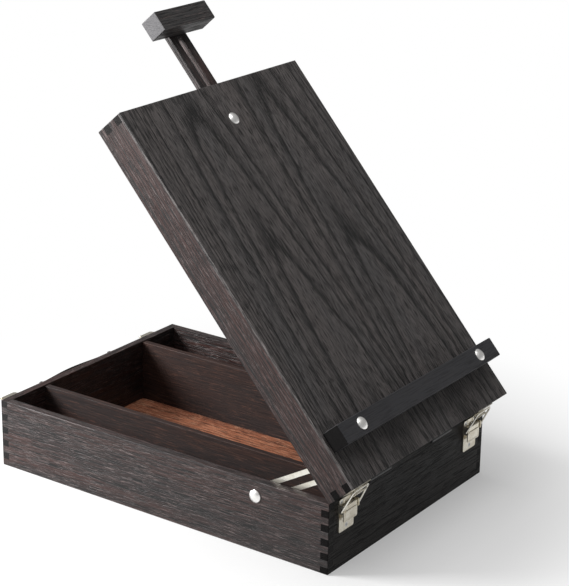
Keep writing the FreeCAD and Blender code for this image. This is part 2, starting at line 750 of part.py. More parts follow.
def build():
    parts = {}
    sides = {"left": -1, "right": 1}
    up = Vector(0, 0, 1)
    forward = Vector(0, -1, 0)

    front, back, left, right = make_box_walls()
    rails, panel = make_lid_frame_and_panel()
    lid_bottom, lid_top, lid_left, lid_right = rails

    # Hinges, let into the front wall and the lid's lower rail
    hinge_pins = []
    box_screws = []
    lid_screws = []
    for name, side in sides.items():
        box_leaf, lid_leaf, pin, room = make_hinge(side)
        box_places = hinge_screw_points(side, box_height)
        lid_places = hinge_screw_points(side, box_height + rim_gap)
        box_holes = [screw_blank(point, up) for point in box_places]
        lid_holes = [screw_blank(point, up * -1) for point in lid_places]
        front = front.cut([box_leaf, room] + box_holes)
        lid_bottom = lid_bottom.cut([lid_leaf, room] + lid_holes)
        parts["hinge_box_leaf_" + name] = box_leaf.cut(box_holes)
        parts["hinge_lid_leaf_" + name] = raise_lid(lid_leaf.cut(lid_holes))
        hinge_pins.append(pin)
        box_screws += [wood_screw(point, up) for point in box_places]
        lid_screws += [wood_screw(point, up * -1) for point in lid_places]
    parts["hinge_pins"] = Part.makeCompound(hinge_pins)

    # Floor and dividers
    parts["box_floor"] = make_floor()
    for name, side in sides.items():
        divider = make_divider(side)
        front = front.cut(divider)
        back = back.cut(divider)
        parts["divider_" + name] = divider

    # Latches: the same set at the front and, turned end for end, at the back
    lever_pins = []
    back_lever_axis = Vector(0, half_depth + lever_pin_out, box_height - lever_pin_drop)
    back_bail_axis = Vector(0, half_depth + bail_pin_out, box_height - bail_pin_drop)
    for name, side in sides.items():
        middle = side * latch_offset
        base_holes = [screw_blank(point, forward) for point in latch_screw_points(middle)]
        keeper_holes = [screw_blank(point, forward) for point in keeper_screw_points(middle)]
        base_screws = [wood_screw(point, forward) for point in latch_screw_points(middle)]
        keeper_screws = [wood_screw(point, forward) for point in keeper_screw_points(middle)]
        base = make_latch_base(middle).cut(base_holes)
        keeper = make_keeper(middle).cut(keeper_holes)
        lever = make_lever(middle)
        pin = make_lever_pin(middle)
        front = front.cut(base_holes)
        lid_bottom = lid_bottom.cut(keeper_holes)
        parts["front_latch_base_" + name] = base
        parts["front_latch_lever_" + name] = lever
        parts["front_latch_bail_" + name] = make_bail(middle, bail_lean)
        parts["front_latch_keeper_" + name] = raise_lid(keeper)

        other = "left" if name == "right" else "right"
        back = back.cut([swap_ends(hole) for hole in base_holes])
        lid_top = lid_top.cut([swap_ends(hole) for hole in keeper_holes])
        parts["back_latch_base_" + other] = swap_ends(base)
        parts["back_latch_lever_" + other] = turn_about(swap_ends(lever), back_lever_axis,
                                                        lever_open_at_back)
        parts["back_latch_bail_" + other] = turn_about(swap_ends(make_bail(middle, 0)),
                                                       back_bail_axis, 180)
        parts["back_latch_keeper_" + other] = raise_lid(swap_ends(keeper))
        lever_pins += [pin, swap_ends(pin)]
        box_screws += base_screws + [swap_ends(screw) for screw in base_screws]
        lid_screws += keeper_screws + [swap_ends(screw) for screw in keeper_screws]
    parts["latch_lever_pins"] = Part.makeCompound(lever_pins)
    parts["lid_screws"] = raise_lid(Part.makeCompound(lid_screws))

    # Ledge, with bolts through the panel and nuts behind it
    ledge = make_ledge()
    ledge_bolts = []
    ledge_nuts = []
    for point in ledge_bolt_points():
        bolt = domed_bolt(point, up, bolt_radius, ledge_depth + panel_thickness + hex_nut_height + 1)
        shank = rod(bolt_radius, point, point - up * (ledge_depth + panel_thickness))
        ledge = ledge.cut(shank)
        panel = panel.cut(shank)
        seat = point - up * (ledge_depth + panel_thickness)
        ledge_bolts.append(bolt)
        ledge_nuts.append(hex_nut(seat, up * -1, bolt_radius))
    parts["ledge"] = raise_lid(ledge)
    parts["ledge_bolts"] = raise_lid(Part.makeCompound(ledge_bolts))
    parts["ledge_nuts"] = raise_lid(Part.makeCompound(ledge_nuts))

    # Mast, with its head, guides and clamp
    head_holes = [screw_blank(point, up * -1) for point in head_screw_points()]
    head_screws = [wood_screw(point, up * -1) for point in head_screw_points()]
    parts["mast_bar"] = raise_lid(make_mast_bar().cut(head_holes))
    parts["mast_head"] = raise_lid(make_mast_head().cut(head_holes))
    parts["mast_head_screws"] = raise_lid(Part.makeCompound(head_screws))
    lid_top = lid_top.cut(mast_notch())
    for name, side in sides.items():
        parts["mast_guide_" + name] = raise_lid(make_guide(side))
    parts["mast_bridge"] = raise_lid(make_bridge())
    clamp_face = lid_point(0, mast_bolt_rise, lid_depth)
    washer_face = lid_point(0, mast_bolt_rise, mast_back - stay_play)
    nut_face = washer_face - up * (washer_thickness + stay_play)
    clamp_length = (clamp_face - nut_face).Length + nut_hub_height + 3
    panel = panel.cut(rod(bolt_radius, clamp_face, clamp_face - up * panel_thickness))
    parts["mast_clamp_bolt"] = raise_lid(domed_bolt(clamp_face, up, bolt_radius, clamp_length))
    parts["mast_clamp_washer"] = raise_lid(ring(washer_face, up * -1, washer_radius,
                                                bolt_radius + thread_clearance, washer_thickness))
    parts["mast_wing_nut"] = raise_lid(wing_nut(nut_face, up * -1, bolt_radius + thread_clearance))

    # Stays, their pivots on the lid and their bolts through the box's side walls
    pivots = []
    spacers = []
    stay_bolts = []
    stay_washers = []
    side_walls = {"left": left, "right": right}
    side_rails = {"left": lid_left, "right": lid_right}
    for name, side in sides.items():
        inward = Vector(-side, 0, 0)
        pivot, spacer = make_stay_pivot(side)
        side_rails[name] = side_rails[name].cut(pivot)
        pivots.append(pivot)
        spacers.append(spacer)
        parts["stay_" + name] = make_stay(side)
        head_face = stay_bolt_point(side, -wall)
        outer_washer = washer_thickness + 2 * stay_play + stay_thickness
        nut_seat = outer_washer + washer_thickness + stay_play
        length = wall + nut_seat + nut_hub_height + 2
        stay_bolt = domed_bolt(head_face, inward * -1, stay_bolt_radius, length)
        side_walls[name] = side_walls[name].cut(rod(stay_bolt_radius, head_face, stay_bolt_point(side, 0)))
        stay_bolts.append(stay_bolt)
        hole = stay_bolt_radius + thread_clearance
        stay_washers.append(ring(stay_bolt_point(side, 0), inward, washer_radius, stay_bolt_radius,
                                 washer_thickness))
        stay_washers.append(ring(stay_bolt_point(side, outer_washer), inward, washer_radius,
                                 stay_bolt_radius, washer_thickness))
        parts["stay_wing_nut_" + name] = wing_nut(stay_bolt_point(side, nut_seat), inward, hole,
                                                    stay_nut_twist)
    parts["stay_pivot_screws"] = raise_lid(Part.makeCompound(pivots))
    parts["stay_pivot_spacers"] = raise_lid(Part.makeCompound(spacers))
    parts["stay_bolts"] = Part.makeCompound(stay_bolts)
    parts["stay_washers"] = Part.makeCompound(stay_washers)

    # Handle
    brackets = []
    for name, side in sides.items():
        places = bracket_screw_points(side)
        holes = [screw_blank(point, forward * -1) for point in places]
        back = back.cut(holes)
        brackets.append(make_handle_bracket(side).cut(holes))
        box_screws += [wood_screw(point, forward * -1) for point in places]
        parts["handle_ring_" + name] = make_handle_ring(side)
    parts["handle_brackets"] = Part.makeCompound(brackets)
    parts["handle_strap"] = make_handle_strap()
    parts["box_screws"] = Part.makeCompound(box_screws)

    parts["box_front_wall"] = front
    parts["box_back_wall"] = back
    parts["box_left_wall"] = side_walls["left"]
    parts["box_right_wall"] = side_walls["right"]
    parts["lid_bottom_rail"] = raise_lid(lid_bottom)
    parts["lid_top_rail"] = raise_lid(lid_top)
    parts["lid_left_rail"] = raise_lid(side_rails["left"])
    parts["lid_right_rail"] = raise_lid(side_rails["right"])
    parts["lid_panel"] = raise_lid(panel)
    return parts


os.makedirs("parts", exist_ok=True)
for node, shape in build().items():
    shape.exportStep(os.path.join("parts", node + ".step"))
    print(node, len(shape.Solids), round(shape.Volume, 1), shape.isValid())
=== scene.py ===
import json
import math

import bmesh
import bpy
from mathutils import Matrix, Vector


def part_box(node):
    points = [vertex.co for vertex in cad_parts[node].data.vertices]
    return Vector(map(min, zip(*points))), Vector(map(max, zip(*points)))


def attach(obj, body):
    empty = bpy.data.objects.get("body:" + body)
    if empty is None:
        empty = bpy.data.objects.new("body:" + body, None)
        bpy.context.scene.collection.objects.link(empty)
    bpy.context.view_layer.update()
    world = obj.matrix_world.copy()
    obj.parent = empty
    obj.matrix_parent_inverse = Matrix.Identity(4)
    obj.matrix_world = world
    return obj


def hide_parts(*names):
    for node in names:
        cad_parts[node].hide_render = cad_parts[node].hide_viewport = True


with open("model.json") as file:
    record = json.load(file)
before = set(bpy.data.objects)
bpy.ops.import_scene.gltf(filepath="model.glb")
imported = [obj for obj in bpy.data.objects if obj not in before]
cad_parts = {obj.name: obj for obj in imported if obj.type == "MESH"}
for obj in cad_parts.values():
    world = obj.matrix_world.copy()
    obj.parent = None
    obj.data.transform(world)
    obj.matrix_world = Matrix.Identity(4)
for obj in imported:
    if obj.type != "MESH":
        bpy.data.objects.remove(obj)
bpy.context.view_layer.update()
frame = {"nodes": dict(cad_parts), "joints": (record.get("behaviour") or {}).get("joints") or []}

# A black-stained sketch-box easel, standing open. Metres, in the frame's own axes.
jointOf = {joint["name"]: joint for joint in frame["joints"]}
slopeAxis = Vector(jointOf["mast_slide"]["axis"])
lidTilt = math.atan2(slopeAxis.z, slopeAxis.y)
millimetre = 0.001


# Small helpers for node trees
def feed(tree, socket, value):
    if isinstance(value, bpy.types.NodeSocket):
        tree.links.new(value, socket)
    else:
        socket.default_value = value


def addNode(tree, kind, inputs=None, **settings):
    node = tree.nodes.new(kind)
    for name, value in settings.items():
        setattr(node, name, value)
    for name, value in (inputs or {}).items():
        feed(tree, node.inputs[name], value)
    return node


def maths(tree, operation, *values):
    inputs = dict(enumerate(values))
    return addNode(tree, "ShaderNodeMath", inputs, operation=operation).outputs[0]


def times(tree, first, second):
    return maths(tree, "MULTIPLY", first, second)


def ease(tree, value, low, high, outLow=0.0, outHigh=1.0):
    inputs = {"Value": value, "From Min": low, "From Max": high,
              "To Min": outLow, "To Max": outHigh}
    return addNode(tree, "ShaderNodeMapRange", inputs, interpolation_type="SMOOTHSTEP").outputs[0]


def mixColour(tree, share, first, second):
    # sockets 6 and 7 are a Mix node's two colours, and 2 is its mixed colour
    node = addNode(tree, "ShaderNodeMix", {0: share}, data_type="RGBA")
    for index, value in ((6, first), (7, second)):
        feed(tree, node.inputs[index], (*value, 1.0) if isinstance(value, tuple) else value)
    return node.outputs[2]


def newGroup(name, inputs, outputs):
    group = bpy.data.node_groups.new(name, "ShaderNodeTree")
    newSocket = group.interface.new_socket
    for label, kind, default in inputs:
        socket = newSocket(name=label, in_out="INPUT", socket_type="NodeSocket" + kind)
        if default is not None:
            socket.default_value = default
    for label, kind in outputs:
        newSocket(name=label, in_out="OUTPUT", socket_type="NodeSocket" + kind)
    return group, group.nodes.new("NodeGroupInput").outputs, group.nodes.new("NodeGroupOutput")


def useGroup(tree, group, inputs):
    return addNode(tree, "ShaderNodeGroup", inputs, node_tree=group).outputs


def newMaterial(name):
    material = bpy.data.materials.new(name)
    material.use_nodes = True
    tree = material.node_tree
    tree.nodes.clear()
    shader = tree.nodes.new("ShaderNodeBsdfPrincipled")
    output = tree.nodes.new("ShaderNodeOutputMaterial")
    tree.links.new(shader.outputs[0], output.inputs[0])
    return material, tree, shader


def objectPlace(tree):
    return addNode(tree, "ShaderNodeTexCoord").outputs["Object"]


def inMillimetres(tree, place):
    inputs = {0: place, "Scale": 1.0 / millimetre}
    return addNode(tree, "ShaderNodeVectorMath", inputs, operation="SCALE").outputs[0]


def stretched(tree, vector, scale, detail=2.0, roughness=0.5):
    # scale is grains per millimetre along each axis
    moved = addNode(tree, "ShaderNodeVectorMath", {0: vector, 1: scale},
                    operation="MULTIPLY").outputs[0]
    inputs = {"Vector": moved, "Scale": 1.0, "Detail": detail, "Roughness": roughness}
    return addNode(tree, "ShaderNodeTexNoise", inputs).outputs["Fac"]


def addBump(tree, shader, height, strength, distance):
    inputs = {"Height": height, "Strength": strength, "Distance": distance}
    bump = addNode(tree, "ShaderNodeBump", inputs)
    tree.links.new(bump.outputs[0], shader.inputs["Normal"])


# Shared effects
figureScale = {  # changes per millimetre along the board and across it
    "wander": (0.006, 0.022, 0.022), "shiver": (0.03, 0.16, 0.16), "tone": (0.004, 0.03, 0.03),
    "fleck": (0.7, 1.6, 1.6), "glints": (0.06, 1.05, 1.05), "ripple": (0.55, 0.045, 0.045)}
ringProfile = [(0.0, 0.0), (0.12, 1.0), (0.30, 0.45), (0.55, 0.06), (1.0, 0.0)]
shiverShare = 0.06              # quick bends of a ring, as a share of its slow wander
ringUnevenness = 2.2            # how many rings a wide or narrow stretch gains or loses
ringChange = 0.31               # how often, per ring, their spacing changes
poreRule = {"limit": 0.72, "byShare": 0.22, "byRing": 0.10, "edge": 0.07}


def makeWoodFigure():
    # growth rings cut by a board, open pores along them and slow changes of tone;
    # X runs along the grain, and the pith lies to the side in Y and deep in Z
    group, given, result = newGroup(
        "woodFigure",
        [("Board", "Vector", None), ("Ring Spacing", "Float", 4.0), ("Pith Depth", "Float", 20.0),
         ("Pith Side", "Float", 0.0), ("Pith Pair", "Float", 0.0), ("Ring Taper", "Float", 0.05),
         ("Wander", "Float", 6.0), ("Pore Length", "Float", 9.0), ("Pore Width", "Float", 0.5),
         ("Pore Share", "Float", 0.5)],
        [("Rings", "Float"), ("Pores", "Float"), ("Tone", "Float"), ("Fleck", "Float"),
         ("Glints", "Float"), ("Ripple", "Float")])
    at = inMillimetres(group, given["Board"])
    slow = stretched(group, at, figureScale["wander"], 2.0, 0.45)
    quick = stretched(group, at, figureScale["shiver"], 2.0, 0.5)
    wander = times(group, maths(group, "SUBTRACT", slow, 0.5), given["Wander"])
    shiver = times(group, maths(group, "SUBTRACT", quick, 0.5),
                   times(group, given["Wander"], shiverShare))
    place = addNode(group, "ShaderNodeSeparateXYZ", {0: at}).outputs
    aside = maths(group, "ABSOLUTE", maths(group, "ADD", place["Y"], given["Pith Side"]))
    side = maths(group, "SUBTRACT", aside, given["Pith Pair"])
    deep = maths(group, "ADD", place["Z"], given["Pith Depth"])
    radius = maths(group, "SQRT", maths(group, "ADD", times(group, side, side),
                                        times(group, deep, deep)))
    tapered = maths(group, "ADD", shiver, times(group, place["X"], given["Ring Taper"]))
    grown = maths(group, "ADD", maths(group, "ADD", radius, wander), tapered)
    counted = maths(group, "DIVIDE", grown, given["Ring Spacing"])
    inputs = {"W": counted, "Scale": ringChange, "Detail": 0.0}
    uneven = addNode(group, "ShaderNodeTexNoise", inputs, noise_dimensions="1D").outputs["Fac"]
    turn = maths(group, "FRACT", maths(group, "ADD", counted,
                                       times(group, uneven, ringUnevenness)))
    ramp = group.nodes.new("ShaderNodeValToRGB")
    ramp.color_ramp.interpolation = "EASE"
    while len(ramp.color_ramp.elements) < len(ringProfile):
        ramp.color_ramp.elements.new(0.5)
    for element, (position, level) in zip(ramp.color_ramp.elements, ringProfile):
        element.position = position
        element.color = (level, level, level, 1.0)
    group.links.new(turn, ramp.inputs[0])
    ringLines = ramp.outputs["Color"]
    lengthways = maths(group, "DIVIDE", 1.0, given["Pore Length"])
    crossways = maths(group, "DIVIDE", 1.0, given["Pore Width"])
    poreScale = addNode(group, "ShaderNodeCombineXYZ",
                        {"X": lengthways, "Y": crossways, "Z": crossways}).outputs[0]
    poreNoise = stretched(group, at, poreScale, 1.0, 0.4)
    threshold = maths(group, "SUBTRACT", poreRule["limit"],
                      times(group, given["Pore Share"], poreRule["byShare"]))
    opened = maths(group, "SUBTRACT", threshold, times(group, ringLines, poreRule["byRing"]))
    pores = ease(group, poreNoise, opened, maths(group, "ADD", opened, poreRule["edge"]))
    tone = stretched(group, at, figureScale["tone"], 3.0, 0.55)
    fleck = stretched(group, at, figureScale["fleck"], 2.0, 0.6)
    # Glints are fine light streaks painted into the colour: painted highlights standing for the
    # sheen the grain catches
    glints = ease(group, stretched(group, at, figureScale["glints"], 3.0, 0.8), 0.54, 0.66)
    ripple = stretched(group, at, figureScale["ripple"], 2.0, 0.5)
    for label, value in (("Rings", ringLines), ("Pores", pores), ("Tone", tone),
                         ("Fleck", fleck), ("Glints", glints), ("Ripple", ripple)):
        group.links.new(value, result.inputs[label])
    return group


def makeHandlingMarks():
    # smudges from hands, between 0 and 1
    group, given, result = newGroup(
        "handlingMarks", [("Place", "Vector", None), ("Smudge Size", "Float", 40.0)],
        [("Smudge", "Float")])
    at = inMillimetres(group, given["Place"])
    size = addNode(group, "ShaderNodeCombineXYZ",
                   {axis: given["Smudge Size"] for axis in "XYZ"}).outputs[0]
    wide = addNode(group, "ShaderNodeVectorMath", {0: at, 1: size}, operation="DIVIDE").outputs[0]
    inputs = {"Vector": wide, "Scale": 1.0, "Detail": 4.0, "Roughness": 0.6, "Distortion": 0.6}
    cloud = addNode(group, "ShaderNodeTexNoise", inputs).outputs["Fac"]
    group.links.new(ease(group, cloud, 0.42, 0.62), result.inputs["Smudge"])
    return group


woodFigure = makeWoodFigure()
handlingMarks = makeHandlingMarks()
print("shared effects ready")


# Wood
alongX = (0.0, 0.0, 0.0)
alongY = (0.0, 0.0, -math.pi / 2)
upSlope = (-lidTilt, 0.0, -math.pi / 2)
acrossLid = (-lidTilt, 0.0, 0.0)
boardSpacing = 0.613            # metres along the tree from one board's wood to the next

# glints and glintColour set how far the painted highlight streaks lighten the colour
stainLook = {
    "light": (0.0170, 0.0098, 0.0094), "dark": (0.0020, 0.0015, 0.0015),
    "warm": (0.0370, 0.0138, 0.0108), "ringDepth": 0.55, "poreDepth": 0.95,
    "roughness": 0.44, "poreRough": 0.18, "fleckRough": 0.08, "smudgeGloss": 0.06,
    "bump": 0.85, "bumpDepth": 0.25 * millimetre, "ringBump": 0.35, "fleckBump": 0.25,
    "gloss": 0.44, "glints": 0.80, "glintColour": (0.138, 0.104, 0.099), "ripple": 0.0,
    "endDepth": 0.95, "endColour": (0.0040, 0.0034, 0.0034), "endRough": 0.42}
figureLook = {
    "Ring Spacing": 3.4, "Pith Depth": 60.0, "Pith Side": 0.0, "Ring Taper": 0.010, "Wander": 4.0,
    "Pore Length": 26.0, "Pore Width": 0.9, "Pore Share": 0.85}


def boardPlace(tree, turn, shift):
    # turned so that X runs along the board, and shifted to a part of the tree of its own
    inputs = {"Vector": objectPlace(tree), "Location": shift, "Rotation": turn}
    return addNode(tree, "ShaderNodeMapping", inputs, vector_type="POINT").outputs[0]


def endGrainShare(tree, turn):
    # 1 on the faces cut across the board, 0 along it
    facing = addNode(tree, "ShaderNodeTexCoord").outputs["Normal"]
    inputs = {"Vector": facing, "Rotation": turn}
    along = addNode(tree, "ShaderNodeMapping", inputs, vector_type="NORMAL").outputs[0]
    ahead = addNode(tree, "ShaderNodeSeparateXYZ", {0: along}).outputs["X"]
    return ease(tree, maths(tree, "ABSOLUTE", ahead), 0.60, 0.85)


def makeStainedWood(name, turn, number, look=None, figure=None):
    look = {**stainLook, **(look or {})}
    figure = {**figureLook, **(figure or {})}
    material, tree, shader = newMaterial(name)
    board = boardPlace(tree, turn, (boardSpacing * number, 0.0, 0.0))
    grain = useGroup(tree, woodFigure, {"Board": board, **figure})
    marks = useGroup(tree, handlingMarks, {"Place": board, "Smudge Size": 55.0})
    endGrain = endGrainShare(tree, turn)
    colour = mixColour(tree, ease(tree, grain["Tone"], 0.36, 0.66), look["light"], look["warm"])
    colour = mixColour(tree, times(tree, grain["Rings"], look["ringDepth"]), colour, look["dark"])
    speckle = ease(tree, grain["Fleck"], 0.30, 0.75, 0.75, 1.30)
    colour = mixColour(tree, speckle, (0.0, 0.0, 0.0), colour)
    # pores darken the colour, glints lighten it with painted highlight streaks, and end faces take
    # the end colour
    for share, depth, shade in ((grain["Pores"], "poreDepth", "dark"),
                                (grain["Glints"], "glints", "glintColour"),
                                (endGrain, "endDepth", "endColour")):
        colour = mixColour(tree, times(tree, share, look[depth]), colour, look[shade])
    tree.links.new(colour, shader.inputs["Base Color"])
    rough = maths(tree, "ADD", look["roughness"], times(tree, grain["Pores"], look["poreRough"]))
    rough = maths(tree, "ADD", rough, times(tree, endGrain, look["endRough"]))
    rough = maths(tree, "SUBTRACT", rough, times(tree, marks["Smudge"], look["smudgeGloss"]))
    rough = maths(tree, "ADD", rough, times(tree, grain["Fleck"], look["fleckRough"]))
    tree.links.new(rough, shader.inputs["Roughness"])
    sunk = maths(tree, "ADD", grain["Pores"], times(tree, grain["Rings"], look["ringBump"]))
    sunk = maths(tree, "ADD", sunk, times(tree, grain["Ripple"], look["ripple"]))
    height = maths(tree, "SUBTRACT", times(tree, grain["Fleck"], look["fleckBump"]), sunk)
    addBump(tree, shader, height, look["bump"], look["bumpDepth"])
    shader.inputs["Specular IOR Level"].default_value = look["gloss"]
    return material


boards = {
    "box_front_wall": alongX, "box_back_wall": alongX, "box_left_wall": alongY,
    "box_right_wall": alongY, "lid_bottom_rail": acrossLid, "lid_top_rail": acrossLid,
    "lid_left_rail": upSlope, "lid_right_rail": upSlope, "mast_bar": upSlope,
    "mast_guide_left": upSlope, "mast_guide_right": upSlope, "mast_bridge": acrossLid}


def paint(node, material):
    mesh = frame["nodes"][node].data
    mesh.materials.clear()
    mesh.materials.append(material)
    for face in mesh.polygons:
        face.material_index = 0


def dressWood():
    # The boards facing the front get a darker copy of the stain with darker glints: painted shade,
    # as little lamp light reaches them
    frontShadeLook = {"light": (0.0070, 0.0065, 0.0060), "warm": (0.0150, 0.0120, 0.0105),
                 "gloss": 0.14, "glintColour": (0.036, 0.034, 0.031)}
    # The panel's light tones and glints are raised well above the walls' stain as painted sheen,
    # since it faces up to the overhead lamp; its rings, pores and ripple are the veneer's own
    # figure
    panelLook = {"light": (0.128, 0.112, 0.108), "warm": (0.105, 0.097, 0.096),
                 "dark": (0.0035, 0.0030, 0.0030), "ringDepth": 0.95, "poreDepth": 0.85,
                 "bump": 0.9, "roughness": 0.46, "gloss": 0.42, "glints": 0.55,
                 "glintColour": (0.240, 0.214, 0.206), "ripple": 0.7}
    panelFigure = {"Ring Spacing": 2.3, "Pith Depth": 6.0, "Pith Side": 8.0, "Pith Pair": 56.0,
                   "Ring Taper": 0.0115, "Wander": 1.7, "Pore Length": 13.0,
                   "Pore Width": 0.80, "Pore Share": 0.95}
    # The ledge's grey light tones are raised above the walls' stain as painted sheen from the lamps
    # above
    ledgeLook = {"light": (0.066, 0.066, 0.071), "warm": (0.058, 0.057, 0.061),
                 "dark": (0.022, 0.022, 0.023), "endDepth": 1.0, "endRough": 0.45,
                 "gloss": 0.16, "bump": 0.12, "poreDepth": 0.35, "ringDepth": 0.3,
                 "roughness": 0.42, "glints": 0.12}
    # The head's end faces get a light grey end colour: painted sheen for the light from the left
    # that catches them
    headLook = {"bump": 0.4, "light": (0.044, 0.042, 0.042), "warm": (0.036, 0.033, 0.033),
                "endDepth": 0.80, "endColour": (0.115, 0.112, 0.118), "endRough": 0.1}
    innerLook = {"light": (0.022, 0.014, 0.013), "warm": (0.034, 0.015, 0.011),
                 "dark": (0.008, 0.005, 0.005), "bump": 0.25, "poreDepth": 0.50,
                 "ringDepth": 0.25, "roughness": 0.60, "gloss": 0.30,
                 "glintColour": (0.12, 0.055, 0.037), "glints": 0.5}
    floorLook = {"light": (0.41, 0.150, 0.078), "warm": (0.29, 0.094, 0.047),
                 "dark": (0.040, 0.012, 0.007), "bump": 0.6, "poreDepth": 0.70,
                 "ringDepth": 0.45, "roughness": 0.62, "gloss": 0.3,
                 "glintColour": (0.80, 0.46, 0.29), "glints": 0.65}
    floorFigure = {"Pore Length": 12.0, "Pore Width": 0.9, "Pore Share": 0.8}
    for number, (node, turn) in enumerate(boards.items()):
        look = frontShadeLook if node in ("box_front_wall", "lid_bottom_rail") else None
        paint(node, makeStainedWood("stain_" + node, turn, number + 1, look))
    for node, turn, number, look, figure in (  # number picks a stretch of the tree
            ("lid_panel", upSlope, 0, panelLook, panelFigure),
            ("ledge", acrossLid, 21, ledgeLook, None),
            ("mast_head", acrossLid, 22, headLook, None),
            ("divider_left", alongY, 31, innerLook, None),
            ("divider_right", alongY, 32, innerLook, None),
            ("box_floor", alongY, 41, floorLook, floorFigure)):
        paint(node, makeStainedWood("stain_" + node, turn, number, look, figure))
    print("wood dressed")


dressWood()


# Metal
metalLook = {
    "nickelPlate": {"colour": (0.76, 0.72, 0.62), "tarnish": (0.50, 0.44, 0.33), "roughness": 0.25},
    "nickelWire": {"colour": (0.80, 0.78, 0.72), "tarnish": (0.60, 0.56, 0.48), "roughness": 0.20},
    "brightBolt": {"colour": (0.95, 0.94, 0.92), "tarnish": (0.84, 0.82, 0.78), "roughness": 0.33},
    "zincFastener": {"colour": (0.60, 0.60, 0.59), "tarnish": (0.42, 0.41, 0.38),
                     "roughness": 0.36},
    "staySteel": {"colour": (0.82, 0.80, 0.73), "tarnish": (0.62, 0.58, 0.48), "roughness": 0.30}}
metalNodes = {
    "nickelPlate": ["%s_latch_%s_%s" % (end, part, side) for end in ("front", "back")
                    for part in ("base", "lever", "keeper") for side in ("left", "right")],
    "nickelWire": ["%s_latch_bail_%s" % (end, side) for end in ("front", "back")
                   for side in ("left", "right")] + ["latch_lever_pins"],
    "brightBolt": ["ledge_bolts", "mast_clamp_bolt", "stay_bolts"],
    "zincFastener": ["ledge_nuts", "mast_wing_nut", "stay_wing_nut_left", "stay_wing_nut_right",
                     "mast_clamp_washer", "stay_washers", "stay_pivot_screws", "stay_pivot_spacers",
                     "mast_head_screws", "box_screws", "lid_screws"],
    "staySteel": ["stay_left", "stay_right"]}


def makePlatedMetal(name, look):
    material, tree, shader = newMaterial(name)
    where = objectPlace(tree)
    marks = useGroup(tree, handlingMarks, {"Place": where, "Smudge Size": 9.0})
    scratch = stretched(tree, inMillimetres(tree, where), (0.35, 5.0, 5.0), 3.0, 0.6)
    tarnish = times(tree, marks["Smudge"], 0.45)
    colour = mixColour(tree, tarnish, look["colour"], look["tarnish"])
    tree.links.new(colour, shader.inputs["Base Color"])
    rough = maths(tree, "ADD", look["roughness"], times(tree, marks["Smudge"], 0.10))
    rough = maths(tree, "ADD", rough, ease(tree, scratch, 0.35, 0.7, -0.04, 0.08))
    tree.links.new(rough, shader.inputs["Roughness"])
    addBump(tree, shader, scratch, 0.12, 0.05 * millimetre)
    shader.inputs["Metallic"].default_value = 1.0
    return material


def makeBlackLacquer():
    material, tree, shader = newMaterial("blackLacquer")
    where = objectPlace(tree)
    marks = useGroup(tree, handlingMarks, {"Place": where, "Smudge Size": 7.0})
    orange = stretched(tree, inMillimetres(tree, where), (1.4, 1.4, 1.4), 2.0, 0.5)
    colour = mixColour(tree, marks["Smudge"], (0.010, 0.010, 0.011), (0.020, 0.019, 0.019))
    tree.links.new(colour, shader.inputs["Base Color"])
    tree.links.new(ease(tree, orange, 0.3, 0.7, 0.26, 0.40), shader.inputs["Roughness"])
    addBump(tree, shader, orange, 0.15, 0.08 * millimetre)
    return material


def dressMetal():
    for finish, nodes in metalNodes.items():
        material = makePlatedMetal(finish, metalLook[finish])
        for node in nodes:
            paint(node, material)
    lacquer = makeBlackLacquer()
    for node in ("hinge_box_leaf_left", "hinge_box_leaf_right", "hinge_lid_leaf_left",
                 "hinge_lid_leaf_right", "hinge_pins", "handle_brackets", "handle_ring_left",
                 "handle_ring_right"):
        paint(node, lacquer)
    print("metal dressed")


dressMetal()


# Leather strap
strapLook = {  # half runs from the strap's middle to a ring's bar
    "thickness": 1.9 * millimetre, "crown": 0.35 * millimetre, "edgeRound": 0.7 * millimetre,
    "bow": 4.0 * millimetre, "half": 55.0 * millimetre, "tail": 25.0 * millimetre,
    "barRadius": 1.3 * millimetre, "play": 0.3 * millimetre, "joined": 16.0 * millimetre,
    "tailGap": 0.05 * millimetre, "widthShare": 0.995, "tipTaper": 0.18, "tipSteps": 5,
    "groove": 0.30 * millimetre, "grooveWidth": 0.5 * millimetre}
stitchLook = {
    "inset": 2.8 * millimetre, "pitch": 4.0 * millimetre, "length": 2.9 * millimetre,
    "threadRadius": 0.30 * millimetre, "endMargin": 6.0 * millimetre, "sunk": 0.6}


def bowed(x):
    look = strapLook
    return look["bow"] * 0.5 * (1 + math.cos(math.pi * x / look["half"]))


def strapPath():
    # the strap's inner surface from one tail's tip, round both rings' bars, to the other tail's tip
    look = strapLook
    half = look["half"]
    ring = look["barRadius"] + look["play"]
    points = []
    tailSteps, barSteps, runSteps = 26, 20, 40
    for step in range(tailSteps + 1):
        x = half - look["tail"] + look["tail"] * step / tailSteps
        share = min((half - x) / look["joined"], 1.0)
        share = share * share * (3 - 2 * share)
        y = -ring * (1 - share) + (ring + bowed(x) - look["tailGap"]) * share
        points.append((x, y))
    for step in range(1, barSteps):
        angle = math.pi * step / barSteps
        points.append((half + ring * math.sin(angle), -ring * math.cos(angle)))
    for step in range(runSteps + 1):
        x = half * (1 - step / runSteps)
        points.append((x, ring + bowed(x)))
    return points + [(-x, y) for x, y in reversed(points[:-1])]


